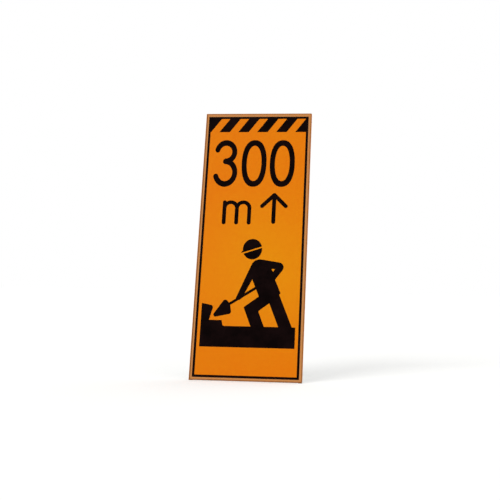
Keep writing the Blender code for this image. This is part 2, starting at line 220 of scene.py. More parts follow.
mergeDistance = 0.000005
arcStep = 12  # degrees between the points of a rounded corner
cutterScale = 3  # how much thicker a flat cutter is, so that its faces stay clear of what it cuts
smoothUnder = {"turned": 35, "hexagon": 30, "weld": 60}  # degrees at an edge


def useOnly(piece):
    bpy.ops.object.select_all(action="DESELECT")
    piece.select_set(True)
    bpy.context.view_layer.objects.active = piece


def applyModifier(piece, kind, **settings):
    useOnly(piece)
    bpy.ops.object.modifier_add(type=kind)
    step = piece.modifiers[-1]
    for name, value in settings.items():
        setattr(step, name, value)
    bpy.ops.object.modifier_apply(modifier=step.name)


def closeUp(piece, holeSides=0):
    # doubles merged, holes of so many sides filled and faces turned outwards
    useOnly(piece)
    bpy.ops.object.mode_set(mode="EDIT")
    bpy.ops.mesh.select_all(action="SELECT")
    bpy.ops.mesh.remove_doubles(threshold=mergeDistance)
    if holeSides:
        bpy.ops.mesh.fill_holes(sides=holeSides)
        bpy.ops.mesh.select_all(action="SELECT")
    bpy.ops.mesh.normals_make_consistent(inside=False)
    bpy.ops.object.mode_set(mode="OBJECT")


def combine(piece, other, operation):
    applyModifier(piece, "BOOLEAN", operation=operation, solver="EXACT", object=other)
    bpy.data.objects.remove(other, do_unlink=True)


def joined(first, *others):
    useOnly(first)
    for other in others:
        other.select_set(True)
    bpy.ops.object.join()
    return first


def copyOf(piece, name, place):
    # a copy with its own mesh, its place worked in
    copy = piece.copy()
    copy.data = piece.data.copy()
    copy.name = name
    copy.data.name = name
    bpy.context.collection.objects.link(copy)
    copy.data.transform(place)
    return copy


def finishPiece(piece, body, material=None):
    if material:
        piece.data.materials.clear()
        piece.data.materials.append(material)
    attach(piece, body)


def smoothEdges(piece, kind):
    useOnly(piece)
    bpy.ops.object.shade_smooth_by_angle(angle=math.radians(smoothUnder[kind]))


def meshFromCurve(name, curve):
    piece = bpy.data.objects.new(name, curve)
    bpy.context.collection.objects.link(piece)
    useOnly(piece)
    bpy.ops.object.convert(target="MESH")
    closeUp(piece)
    return piece


def traced(name, spots):
    # one line of edges, drawn by extruding a single point
    bpy.ops.object.select_all(action="DESELECT")
    bpy.ops.mesh.primitive_plane_add()
    piece = bpy.context.object
    piece.name = name
    bpy.ops.object.mode_set(mode="EDIT")
    bpy.ops.mesh.merge(type="CENTER")
    bpy.ops.transform.translate(value=spots[0])
    for before, after in zip(spots, spots[1:]):
        bpy.ops.mesh.extrude_region_move(TRANSFORM_OT_translate={"value": after - before})
    bpy.ops.object.mode_set(mode="OBJECT")
    return piece


def turned(name, profile, steps=40):
    # the profile is (radius, height); it is spun round its own Z
    piece = traced(name, [Vector((radius, 0, height)) for radius, height in profile])
    useOnly(piece)
    bpy.ops.object.mode_set(mode="EDIT")
    bpy.ops.mesh.select_all(action="SELECT")
    bpy.ops.mesh.spin(steps=steps, angle=2 * math.pi, center=(0, 0, 0), axis=(0, 0, 1))
    bpy.ops.object.mode_set(mode="OBJECT")
    closeUp(piece)
    smoothEdges(piece, "turned")
    return piece


# Lines drawn in two dimensions

def arc(middle, across, up, start, end, steps):
    # part of an oval; angles in degrees, counted from the right
    line = []
    for step in range(steps + 1):
        angle = math.radians(start + (end - start) * step / steps)
        line.append(Vector((middle[0] + across * math.cos(angle), middle[1] + up * math.sin(angle))))
    return line


def squarishOval(middle, across, up, squareness, steps=144):
    # 2 is a true oval, and more fills out its corners
    line = []
    for step in range(steps):
        angle = 2 * math.pi * step / steps
        offset = []
        for reach, share in ((across, math.cos(angle)), (up, math.sin(angle))):
            offset.append(reach * math.copysign(abs(share) ** (2 / squareness), share))
        line.append(Vector((middle[0] + offset[0], middle[1] + offset[1])))
    return line


def roundedLine(corners, closed=True):
    # each corner is (across, up) or (across, up, radius), and a radius makes it an arc
    line = []
    for index, corner in enumerate(corners):
        spot = Vector(corner[:2])
        if len(corner) == 2:
            line.append(spot)
            continue
        before = (Vector(corners[index - 1][:2]) - spot).normalized()
        after = (Vector(corners[(index + 1) % len(corners)][:2]) - spot).normalized()
        half = before.angle(after) / 2
        middle = spot + (before + after).normalized() * corner[2] / math.sin(half)
        first = spot + before * corner[2] / math.tan(half) - middle
        last = spot + after * corner[2] / math.tan(half) - middle
        turn = math.atan2(first.x * last.y - first.y * last.x, first.dot(last))
        steps = max(2, round(abs(math.degrees(turn)) / arcStep))
        for step in range(steps + 1):
            line.append(middle + Matrix.Rotation(turn * step / steps, 2) @ first)
    return line


def strokeEdges(line, width):
    # the two lines that run half the width beside an open line
    left = []
    right = []
    for index, spot in enumerate(line):
        before = line[index - 1] if index else spot
        after = line[index + 1] if index + 1 < len(line) else spot
        along = (after - before).normalized()
        aside = Vector((-along.y, along.x)) * width / 2
        left.append(spot + aside)
        right.append(spot - aside)
    return left, right


def strokeOutline(line, width, steps=12):
    # an open stroke with round ends
    left, right = strokeEdges(line, width)
    outline = list(left)
    for middle, start, following in ((line[-1], left[-1], reversed(right)), (line[0], right[0], ())):
        for step in range(1, steps):
            outline.append(middle + Matrix.Rotation(-math.pi * step / steps, 2) @ (start - middle))
        outline += following
    return outline


def squareStroke(ends, width):
    # a straight stroke with square ends
    left, right = strokeEdges([Vector(spot) for spot in ends], width)
    return left + right[::-1]


def raised(line, middle, up):
    # a line drawn higher from its middle, which turns a round pen into an oval one
    return [Vector((middle[0] + spot.x, middle[1] + spot.y * up)) for spot in line]


def rectangle(left, bottom, right, top):
    return [(left, bottom), (right, bottom), (right, top), (left, top)]


# Film

prismaticFilm = {
    # Microprismatic reflective sheeting: moulded acrylic prisms under a smooth orange skin,
    # which is welded down along a net of fine lines that show a little darker.
    "orange": "#e78007",
    "otherCells": "#e98609",
    "weldLine": "#dc7805",
    "cell": 0.0090,
    "line": 0.0007,  # about 0.4 mm on the real film, drawn wider so that it shows
    "pressed": {"invert": True, "Strength": 0.5, "Distance": 0.00008},
    # prisms of about 0.2 mm, drawn coarser so that they show
    "grain": {"Scale": 1 / 0.0042, "Detail": 4.0},
    "value": {"From Min": 0.3, "From Max": 0.7, "To Min": 0.97, "To Max": 1.03},
    "roughness": {"To Min": 0.34, "To Max": 0.44},
    "skin": {"Strength": 0.15, "Distance": 0.0001},
    # the dye's shade drifts slowly along the roll, and a pool of light is painted on: paler and yellower
    # round one spot right of the middle, redder away from it
    "dye": {"Scale": 1 / 0.45, "Detail": 3.0},
    "drift": 0.010,
    "paintedLightMiddle": (0.110, 0.560, 0.0),
    "paintedLightFade": {"interpolation_type": "SMOOTHSTEP", "From Max": 0.60, "To Min": 0.5020, "To Max": 0.4905},
    # the margin outside the border line is sealed with lacquer, which has dulled; the orange shows through
    # where it has worn thin.
    # along the cut edge a dark line is painted as the shade of the rolled edge, and it reaches further in on
    # the left
    "sealed": "#c38853",
    "sealedFrom": {"From Min": 0.2550, "From Max": 0.2560},  # across from the middle
    "wearAndShadeNoise": {"Scale": 1 / 0.045, "Detail": 5.0, "Roughness": 0.65},
    "cover": {"From Min": 0.35, "From Max": 0.65, "To Min": 0.76, "To Max": 1.0},
    # painted shade: the dark line along the cut edge, and where it starts
    "paintedEdgeShade": "#8f5a2a",
    "paintedEdgeShadeFrom": {"From Min": 0.2704, "From Max": 0.2734},
    "edgeShadeRagged": 0.004,
    "leftShadeReach": 1.009,  # how much further in the painted edge shade reaches on the left side
    "shader": {"Specular IOR Level": 0.03},
}


def filmNet(tree, spot):
    # the net of weld lines, turned to stand on its corners
    look = prismaticFilm
    slanted = addNode(tree, "Mapping", {"Rotation": (0, 0, math.radians(45))}, {"Vector": spot})
    net = {
        "offset": 0.0,
        "Color1": linear(look["orange"]),
        "Color2": linear(look["otherCells"]),
        "Mortar": linear(look["weldLine"]),
        "Scale": 1 / look["cell"],
        "Mortar Size": look["line"] / look["cell"] / 2,
        "Mortar Smooth": 0.5,
        "Brick Width": 1.0,
        "Row Height": 1.0,
    }
    return addNode(tree, "TexBrick", net, {"Vector": slanted})


def filmMargin(tree, spot):
    # how far a point stands from the face's middle, the face's ends drawn in to its sides
    rise = board["height"] / 2
    drawnIn = rise - board["width"] / 2
    centred = addNode(tree, "VectorMath", {"operation": "SUBTRACT", 1: (0, rise, 0)}, {0: spot})
    folded = addNode(tree, "VectorMath", {"operation": "ABSOLUTE"}, {0: centred})
    parts = addNode(tree, "SeparateXYZ", {}, {"Vector": folded}).outputs
    up = addNode(tree, "Math", {"operation": "SUBTRACT", 1: drawnIn}, {0: parts["Y"]})
    return addNode(tree, "Math", {"operation": "MAXIMUM"}, {0: parts["X"], 1: up})


def filmMaterial():
    material, tree, shader, spot = newMaterial("prismaticFilm", facePlace)
    look = prismaticFilm
    net = filmNet(tree, spot)
    dye = addNode(tree, "TexNoise", look["dye"], {"Vector": spot})
    grain = addNode(tree, "TexNoise", look["grain"], {"Vector": spot})
    # painted light: the film is yellower near one spot and redder towards its top, bottom and sides
    away = addNode(tree, "VectorMath", {"operation": "DISTANCE", 1: look["paintedLightMiddle"]}, {0: spot})
    paintedLight = addNode(tree, "MapRange", look["paintedLightFade"], {"Value": away.outputs["Value"]})
    dyeAndPaintedLight = addNode(tree, "Math", {"operation": "MULTIPLY_ADD", 1: look["drift"]}, {0: dye, 2: paintedLight})
    value = addNode(tree, "MapRange", look["value"], {"Value": grain})
    dyedAndPaintedLight = addNode(tree, "HueSaturation", {}, {"Hue": dyeAndPaintedLight, "Value": value, "Color": net})
    # the sealed margin
    margin = filmMargin(tree, spot)
    wearAndShadeNoise = addNode(tree, "TexNoise", look["wearAndShadeNoise"], {"Vector": spot})
    cover = addNode(tree, "MapRange", look["cover"], {"Value": wearAndShadeNoise})
    outside = addNode(tree, "MapRange", look["sealedFrom"], {"Value": margin})
    sealed = addNode(tree, "Math", {"operation": "MULTIPLY"}, {0: outside, 1: cover})
    dull = {"data_type": "RGBA", 7: linear(look["sealed"])}
    dulled = addNode(tree, "Mix", dull, {0: sealed, 6: dyedAndPaintedLight}).outputs[2]
    # painted shade of the rolled edge: a dark line along the cut edge, ragged on its inner side and reaching
    # further in on the left
    across = addNode(tree, "SeparateXYZ", {}, {"Vector": spot}).outputs["X"]
    left = addNode(tree, "Math", {"operation": "MULTIPLY", 1: -look["leftShadeReach"]}, {0: across})
    scuffAndEdgeShade = addNode(tree, "Math", {"operation": "MAXIMUM"}, {0: margin, 1: left})
    wander = {"operation": "MULTIPLY_ADD", 1: look["edgeShadeRagged"]}
    ragged = addNode(tree, "Math", wander, {0: wearAndShadeNoise, 2: scuffAndEdgeShade})
    edge = addNode(tree, "MapRange", look["paintedEdgeShadeFrom"], {"Value": ragged})
    dark = {"data_type": "RGBA", 7: linear(look["paintedEdgeShade"])}
    tone = addNode(tree, "Mix", dark, {0: edge, 6: dulled}).outputs[2]
    # gloss and relief
    rough = addNode(tree, "MapRange", look["roughness"], {"Value": grain})
    pressed = addNode(tree, "Bump", look["pressed"], {"Height": net.outputs["Fac"]})
    skin = addNode(tree, "Bump", look["skin"], {"Height": grain, "Normal": pressed})
    wire(tree, shader, {"Base Color": tone, "Roughness": rough, "Normal": skin})
    adjust(shader, look["shader"])
    return material


dress("reflective_sheet", filmMaterial())
print("film dressed")


# Printing on the film, in metres across from the middle and up from the lower edge

printInk = {
    # Screen ink, cured matt: nearly black, a little warm, the film's net pressed through it.
    "tones": ("#070202", "#180b0b"),  # as printed, and in patches a hand wide where it has dulled
    "patch": {"Scale": 1 / 0.11, "Detail": 6.0, "Roughness": 0.65},
    "patches": {"From Min": 0.4, "From Max": 0.7},
    # marks of the screen, under 0.1 mm in truth, drawn coarser so that they show
    "grain": {"Scale": 1 / 0.0011, "Detail": 2.0},
    "bump": {"Strength": 0.12, "Distance": 0.00003},
    "pressed": {"invert": True, "Strength": 0.3, "Distance": 0.00005},
    "glossOf": "patch",
    "roughness": {"From Min": 0.3, "From Max": 0.7, "To Min": 0.42, "To Max": 0.56},
    "shader": {"Specular IOR Level": 0.012},
    "proud": 0.00012,
    "bedded": 0.00005,
}


def inkMaterial():
    material, tree, shader, spot = newMaterial("printInk", facePlace)
    made = addPatches(tree, shader, spot, printInk)
    net = filmNet(tree, spot)
    pressed = addNode(tree, "Bump", printInk["pressed"], {"Height": net.outputs["Fac"]})
    wire(tree, made["skin"], {"Normal": pressed})
    return material


def inkShape(name, outlines):
    # a flat curve, filled inside its outlines and made a mesh as thick as the ink
    curve = bpy.data.curves.new(name, "CURVE")
    curve.dimensions = "2D"
    curve.fill_mode = "BOTH"
    curve.extrude = (printInk["proud"] + printInk["bedded"]) / 2
    for outline in outlines:
        line = curve.splines.new("POLY")
        line.points.add(len(outline) - 1)
        for point, spot in zip(line.points, outline):
            point.co = (spot[0], spot[1], 0, 1)
        line.use_cyclic_u = True
    return meshFromCurve(name, curve)


def unitedInk(name, shapes):
    # overlapping shapes made one
    pieces = [inkShape(name, outlines) for outlines in shapes]
    for other in pieces[1:]:
        combine(pieces[0], other, "UNION")
    return pieces[0]


def trimInk(piece, outline, operation):
    cutter = inkShape("cutter", [outline])
    cutter.scale.z = cutterScale
    combine(piece, cutter, operation)


def printPiece(piece):
    lift = (printInk["proud"] - printInk["bedded"]) / 2
    piece.data.transform(facePlace @ Matrix.Translation((0, 0, lift)))
    finishPiece(piece, "board", ink)


ink = inkMaterial()

border = {
    "sideMargin": 0.0150,
    "topMargin": 0.0185,
    "bottomMargin": 0.0140,
    "line": 0.0120,
}
borderOuter = board["width"] / 2 - border["sideMargin"]
borderInner = borderOuter - border["line"]
borderTop = board["height"] - border["topMargin"]
borderBottom = border["bottomMargin"]


def printBorder():
    outer = rectangle(-borderOuter, borderBottom, borderOuter, borderTop)
    line = border["line"]
    inner = rectangle(-borderInner, borderBottom + line, borderInner, borderTop - line)
    printPiece(inkShape("print_border", [outer, inner]))


header = {
    "height": 0.0740,
    "stripes": 6,
    "pitch": 0.0987,
    "black": 0.0545,
    "slant": 0.0535,  # how far a stripe runs across on its way up
    "firstGap": -0.1925,  # left end of the first orange gap, along the top
}


def printStripes():
    top = borderTop - border["line"]
    bottom = top - header["height"]
    slant = header["slant"]
    bands = []
    for index in range(header["stripes"]):
        right = header["firstGap"] + index * header["pitch"]
        left = right - header["black"]
        bands.append([(left - slant, bottom), (right - slant, bottom), (right, top), (left, top)])
    stripes = inkShape("print_stripes", bands)
    trimInk(stripes, rectangle(-borderInner, bottom, borderInner, top), "INTERSECT")
    printPiece(stripes)


number = {
    "middleUp": 1.1225,
    "height": 0.2560,
    "width": 0.1280,
    "stem": 0.0262,  # thickness of an upright stroke
    "bar": 0.0315,  # thickness of a level one
    "squareness": 2.30,
    "counterSquareness": 2.15,
    "zeroMiddles": (-0.0115, 0.1335),
    "firstMiddle": -0.1570,
    # the first digit's bows, drawn for a round pen: middle, reach across and up, first and last angle
    "bows": (((-0.0030, 0.0510), 0.0450, 0.0424, 165, -90), ((-0.0020, -0.0429), 0.0500, 0.0515, 90, -160)),
    "bowSteps": 40,
}


def printNumber():
    stem = number["stem"]
    level = number["bar"]
    across = number["width"] / 2
    up = number["height"] / 2
    for word, middleAcross in zip(("second", "third"), number["zeroMiddles"]):
        middle = (middleAcross, number["middleUp"])
        outer = squarishOval(middle, across, up, number["squareness"])
        counter = squarishOval(middle, across - stem, up - level, number["counterSquareness"])
        printPiece(inkShape("print_digit_" + word, [outer, counter]))
    middle = (number["firstMiddle"], number["middleUp"])
    shapes = []
    for bow in number["bows"]:
        outline = strokeOutline(arc(*bow, number["bowSteps"]), stem)
        shapes.append([raised(outline, middle, level / stem)])
    printPiece(unitedInk("print_digit_first", shapes))


unit = {
    "legs": (-0.1505, -0.0868, -0.0231),
    "foot": 0.8018,
    "top": 0.9105,
    "stroke": 0.0198,
    "archFrom": 172,  # degrees; short of level, so that an arch ends inside the leg beside it
    "archSteps": 20,
}


def printUnit():
    first, second, third = unit["legs"]
    half = (second - first) / 2
    spring = unit["top"] - half
    strokes = [[Vector((first, unit["top"])), Vector((first, unit["foot"]))]]
    for left, right in ((first, second), (second, third)):
        arch = arc(((left + right) / 2, spring), half, half, unit["archFrom"], 0, unit["archSteps"])
        strokes.append(arch + [Vector((right, unit["foot"]))])
    printPiece(unitedInk("print_unit", [[strokeOutline(stroke, unit["stroke"])] for stroke in strokes]))


arrow = {
    "middle": 0.1010,
    "foot": 0.8070,
    "tip": 0.9510,
    "wing": 0.0600,
    "stroke": 0.0205,
}


def printArrow():
    # its right half runs from the rounded tip to the shaft's foot, and the left half comes back
    half = arrow["stroke"] / 2
    slant = half * math.sqrt(2)
    wing = arrow["wing"]
    tip = arrow["tip"]
    right = [
        (wing + slant, tip - wing, half),
        (wing, tip - wing - slant, half),
        (half, tip - half - slant),
        (half, arrow["foot"] - half, half),
    ]
    left = [(-corner[0], *corner[1:]) for corner in reversed(right)]
    corners = [(0, tip + slant, half)] + right + left
    placed = [(arrow["middle"] + corner[0], *corner[1:]) for corner in corners]
    printPiece(inkShape("print_arrow", [roundedLine(placed)]))


# the common figure of a person digging, as it stands on road works signs
worker = {
    "body": [
        (0.0160, 0.6155, 0.044), (0.1832, 0.5898, 0.026), (0.1240, 0.5075, 0.002),
        (0.1540, 0.4380, 0.001), (0.1472, 0.4320), (0.2165, 0.2670), (0.2165, 0.2600),
        (0.1488, 0.2600), (0.1488, 0.2690), (0.1005, 0.3870, 0.002), (0.0480, 0.3465, 0.008),
        (0.0792, 0.2690), (0.0792, 0.2600), (0.0132, 0.2600), (0.0132, 0.2690),
        (-0.0257, 0.3655, 0.008), (0.0470, 0.4205, 0.001), (0.0105, 0.5060, 0.001),
        (-0.0355, 0.4115), (-0.0500, 0.4000, 0.004), (-0.0675, 0.4085, 0.004),
    ],
    "elbowGap": [(0.1035, 0.5610), (0.1205, 0.5620), (0.1120, 0.5475)],
    "shaft": [(0.0360, 0.4670), (-0.1000, 0.3777)],
    "shaftWidth": 0.0136,
    "blade": [
        (-0.1190, 0.4098, 0.013), (-0.0925, 0.3782, 0.006),
        (-0.0848, 0.3313, 0.013), (-0.1868, 0.3088, 0.011),
    ],
    "ground": [
        (-0.2340, 0.3825), (-0.1745, 0.3710, 0.013), (-0.1935, 0.2980), (-0.1305, 0.2980),
        (-0.1245, 0.2690, 0.011), (0.2327, 0.2690), (0.2327, 0.1640), (-0.2340, 0.1640),
    ],
    "head": ((0.0035, 0.6630), 0.0485, 0.0535),  # its middle, and its reach across and up
    "headSteps": 72,
    "brim": [(-0.0545, 0.6420), (-0.0200, 0.6550), (-0.0410, 0.6720), (-0.0445, 0.6560)],
    "browLine": [(-0.0600, 0.6362), (0.0620, 0.6776)],
    "browWidth": 0.0070,
}


def printWorker():
    body = [roundedLine(worker["body"]), worker["elbowGap"]]
    shaft = [squareStroke(worker["shaft"], worker["shaftWidth"])]
    shapes = [body, shaft, [roundedLine(worker["blade"])], [roundedLine(worker["ground"])]]
    printPiece(unitedInk("print_worker", shapes))
    steps = worker["headSteps"]
    disc = arc(*worker["head"], 0, 360 - 360 / steps, steps - 1)
    head = unitedInk("print_head", [[disc], [worker["brim"]]])
    trimInk(head, squareStroke(worker["browLine"], worker["browWidth"]), "DIFFERENCE")
    printPiece(head)


printBorder()
printStripes()
printNumber()
printUnit()
printArrow()
printWorker()
print("printing done")


# Folded sheet: painted outside, primer inside

panelPaint = {
    # Coil-coated steel: polyester paint baked on one side, slightly duller than the film,
    # with a fine orange peel, and a thin pale primer on the other side.
    "paint": ("#c9701a", "#d27a24"),
    "cloud": {"Scale": 1 / 0.20, "Detail": 5.0, "Roughness": 0.6},
    "clouds": {"From Min": 0.35, "From Max": 0.65},
    "primer": ("#c3c5c0", "#b3b6b3"),
    "streakSize": (0.017, 0.017, 0.65),  # rolling leaves faint upright streaks in the primer
    "streak": {"Scale": 1.0, "Detail": 3.0},
    "streaks": {"From Min": 0.35, "From Max": 0.7},
    "dust": "#8f8a80",
    "dusting": {"From Max": 0.16, "To Min": 0.45, "To Max": 0.0},  # up from the lower edge
    "roughness": {"From Min": 0.3, "From Max": 0.7, "To Min": 0.36, "To Max": 0.50},
    "peel": {"Scale": 1 / 0.0030, "Detail": 2.0},  # orange peel of 1 to 2 mm, drawn coarser to show
    "bump": {"Strength": 0.2, "Distance": 0.0001},
    "shader": {"Specular IOR Level": 0.18},
    "hemHeight": 0.0060,
    "hemBackFrom": 0.00155,
}


def paintedSide(tree, spot, parts):
    # 1 on the sheet's outer side and 0 on its inner one, parted in the middle of its thickness
    radius = board["bendRadius"]
    inwards = (radius - board["width"] / 2, radius, radius - board["height"])
    middle = radius - board["sheet"] / 2
    folded = addNode(tree, "VectorMath", {"operation": "ABSOLUTE"}, {0: spot})
    drawnIn = {"operation": "MULTIPLY_ADD", 1: (1, -1, 1), 2: inwards}
    reach = addNode(tree, "VectorMath", drawnIn, {0: folded})
    beyond = addNode(tree, "VectorMath", {"operation": "MAXIMUM", 1: (0, 0, 0)}, {0: reach})
    far = addNode(tree, "VectorMath", {"operation": "LENGTH"}, {0: beyond}).outputs["Value"]
    outside = addNode(tree, "Math", {"operation": "GREATER_THAN", 1: middle}, {0: far})
    # the hem's back is the painted side too
    height = panelPaint["hemHeight"]
    depth = panelPaint["hemBackFrom"]
    low = addNode(tree, "Math", {"operation": "LESS_THAN", 1: height}, {0: parts["Z"]})
    back = addNode(tree, "Math", {"operation": "GREATER_THAN", 1: depth}, {0: parts["Y"]})
    hem = addNode(tree, "Math", {"operation": "MULTIPLY"}, {0: low, 1: back})
    return addNode(tree, "Math", {"operation": "MAXIMUM"}, {0: outside, 1: hem})


def panelMaterial():
    material, tree, shader, spot = newMaterial("panelPaint", boardPlace)
    look = panelPaint
    parts = addNode(tree, "SeparateXYZ", {}, {"Vector": spot}).outputs
    painted = paintedSide(tree, spot, parts)
    cloud = addNode(tree, "TexNoise", look["cloud"], {"Vector": spot})
    clouds = addNode(tree, "MapRange", look["clouds"], {"Value": cloud})
    drawnOut = {"Scale": [1 / size for size in look["streakSize"]]}
    upright = addNode(tree, "Mapping", drawnOut, {"Vector": spot})
    streak = addNode(tree, "TexNoise", look["streak"], {"Vector": upright})
    streaks = addNode(tree, "MapRange", look["streaks"], {"Value": streak})
    coats = []
    for name, blend in (("primer", streaks), ("paint", clouds)):
        first, second = (linear(tone) for tone in look[name])
        tones = {"data_type": "RGBA", 6: first, 7: second}
        coats.append(addNode(tree, "Mix", tones, {0: blend}).outputs[2])
    coat = addNode(tree, "Mix", {"data_type": "RGBA"}, {0: painted, 6: coats[0], 7: coats[1]}).outputs[2]
    # road dust gathers along the lower edge
    height = addNode(tree, "MapRange", look["dusting"], {"Value": parts["Z"]})
    dusty = addNode(tree, "Math", {"operation": "MULTIPLY"}, {0: height, 1: clouds})
    dust = {"data_type": "RGBA", 7: linear(look["dust"])}
    tone = addNode(tree, "Mix", dust, {0: dusty, 6: coat}).outputs[2]
    rough = addNode(tree, "MapRange", look["roughness"], {"Value": cloud})
    peel = addNode(tree, "TexNoise", look["peel"], {"Vector": spot})
    skin = addNode(tree, "Bump", look["bump"], {"Height": peel})
    wire(tree, shader, {"Base Color": tone, "Roughness": rough, "Normal": skin})
    adjust(shader, look["shader"])
    return material


dress("face_panel", panelMaterial())
print("sheet dressed")


# Galvanised tube and plate

galvanisedSteel = {
    # Hot-dip zinc on strip: grey metal with a small spangle, matt where zinc paint
    # covers the heat marks round each weld.
    "tones": ("#b9bdc0", "#a4a9ad"),
    "spangle": {"Scale": 1 / 0.0045, "Randomness": 1.0},  # crystals of 2 to 4 mm, drawn larger to show
    "spangleShare": 0.45,
    "cloud": {"Scale": 1 / 0.036, "Detail": 5.0, "Roughness": 0.6},
    "clouds": {"From Min": 0.35, "From Max": 0.65, "To Max": 0.55},
    "grain": {"Scale": 1 / 0.0007, "Detail": 2.0},  # under 0.1 mm in truth, drawn coarser to show
    "bump": {"Strength": 0.25, "Distance": 0.00004},
    "roughness": {"To Min": 0.32, "To Max": 0.50},
    "shader": {"Metallic": 0.92},
    "zincPaint": "#a9acad",
    "paintRoughness": 0.62,
    "paintReach": 0.017,
    "paintRagged": 0.022,
    "paintFade": (0.003, 0.004),  # to the inside and the outside of the paint's edge
}


def nearestWeld(tree, spot, welds):
    # how far a point is from the nearest weld, on both sides alike
    parts = addNode(tree, "SeparateXYZ", {}, {"Vector": spot}).outputs
    across = addNode(tree, "Math", {"operation": "ABSOLUTE"}, {0: parts["X"]})
    folded = addNode(tree, "CombineXYZ", {}, {"X": across, "Y": parts["Y"], "Z": parts["Z"]})
    nearest = None
    for weld in welds:
        away = addNode(tree, "VectorMath", {"operation": "DISTANCE", 1: weld}, {0: folded}).outputs["Value"]
        if nearest:
            away = addNode(tree, "Math", {"operation": "MINIMUM"}, {0: nearest, 1: away})
        nearest = away
    return nearest


def galvanisedMaterial(name, place, welds):
    material, tree, shader, spot = newMaterial(name, place)
    look = galvanisedSteel
    crystal = addNode(tree, "TexVoronoi", look["spangle"], {"Vector": spot}).outputs["Color"]
    tint = addNode(tree, "SeparateColor", {}, {"Color": crystal})
    cloud = addNode(tree, "TexNoise", look["cloud"], {"Vector": spot})
    clouds = addNode(tree, "MapRange", look["clouds"], {"Value": cloud})
    share = {"operation": "MULTIPLY_ADD", 1: look["spangleShare"]}
    blend = addNode(tree, "Math", share, {0: tint, 2: clouds})
    first, second = (linear(tone) for tone in look["tones"])
    zinc = addNode(tree, "Mix", {"data_type": "RGBA", 6: first, 7: second}, {0: blend}).outputs[2]
    bare = addNode(tree, "MapRange", look["roughness"], {"Value": blend})
    # the paint round the welds ends in a ragged edge
    wander = {"operation": "MULTIPLY_ADD", 1: look["paintRagged"]}
    ragged = addNode(tree, "Math", wander, {0: cloud, 2: nearestWeld(tree, spot, welds)})
    reach = look["paintReach"] + look["paintRagged"] / 2
    inside, outside = look["paintFade"]
    fade = {"From Min": reach - inside, "From Max": reach + outside, "To Min": 1.0, "To Max": 0.0}
    sprayed = addNode(tree, "MapRange", fade, {"Value": ragged})
    paint = {"data_type": "RGBA", 7: linear(look["zincPaint"])}
    tone = addNode(tree, "Mix", paint, {0: sprayed, 6: zinc}).outputs[2]
    matt = {"data_type": "FLOAT", 3: look["paintRoughness"]}
    rough = addNode(tree, "Mix", matt, {0: sprayed, 2: bare})
    grain = addNode(tree, "TexNoise", look["grain"], {"Vector": spot})
    skin = addNode(tree, "Bump", look["bump"], {"Height": grain})
    wire(tree, shader, {"Base Color": tone, "Roughness": rough, "Normal": skin})
    adjust(shader, look["shader"])
    return material


def dressSteel():
    frameWelds = [(stileInside, onBoard(rail).y, onBoard(rail).z) for rail in rails]
    frameWelds.append((hingeX, onBoard("rail_hinge").y + tube / 2, onBoard("rail_hinge").z))
    propWelds = [(armInside, 0.0, onProp(bar).z) for bar in bars]
    frameSteel = galvanisedMaterial("galvanisedFrame", boardPlace, frameWelds)
    propSteel = galvanisedMaterial("galvanisedProp", propPlace, propWelds)
    for side, word in sides:
        dress("stile_" + word, frameSteel)
        dress("hinge_bracket_" + word, frameSteel)
        dress("prop_arm_" + word, propSteel)
    for rail in rails:
        dress(rail, frameSteel)
    for bar in bars:
        dress(bar, propSteel)


dressSteel()
print("steel dressed")


# Weld beads

weldBead = {
    "radius": 0.0026,
    "resolution": 2,
    "ripple": 0.0013,  # one ripple for each dab of the torch
    "stepsToRipple": 4,
    "swell": 0.055,
    "uneven": 0.1,
    "unevenToMetre": 150,
    "wander": 0.00022,
    "wanderToMetre": 220,
    "seed": 7,  # of the wander, so that the beads come out the same each run
    "endSize": 0.55,  # share of the full radius at an open end, and its growth at each step
    "endGrowth": 0.15,
    "corner": 0.002,
    "sunk": 0.0014,  # below a flush joint's surface
    "short": 0.0015,  # of a corner that the sheet covers
}

zincSpray = {
    # Cold zinc paint over a steel weld: matt warm grey, grainy, a little darker in patches.
    "tones": ("#a9acad", "#949799"),
    "patch": {"Scale": 1 / 0.006, "Detail": 4.0},
    "patches": {"From Min": 0.4, "From Max": 0.65},
    "grain": {"Scale": 1 / 0.0006, "Detail": 2.0},  # zinc dust is finer, drawn coarser to show
    "bump": {"Strength": 0.3, "Distance": 0.00008},
    "glossOf": "grain",
    "roughness": {"From Min": 0.3, "From Max": 0.7, "To Min": 0.54, "To Max": 0.68},
    "shader": {"Metallic": 0.85},
}


def evenSpots(line, spacing, closed):
    # spots at even steps along a line
    corners = line + line[:1] if closed else line
    lengths = [(after - before).length for before, after in zip(corners, corners[1:])]
    count = max(2, round(sum(lengths) / spacing))
    spots = []
    for index in range(count if closed else count + 1):
        left = sum(lengths) * index / count
        for before, after, length in zip(corners, corners[1:], lengths):
            if left <= length or after is corners[-1]:
                spots.append(before.lerp(after, min(1.0, left / length)))
                break
            left -= length
    return spots


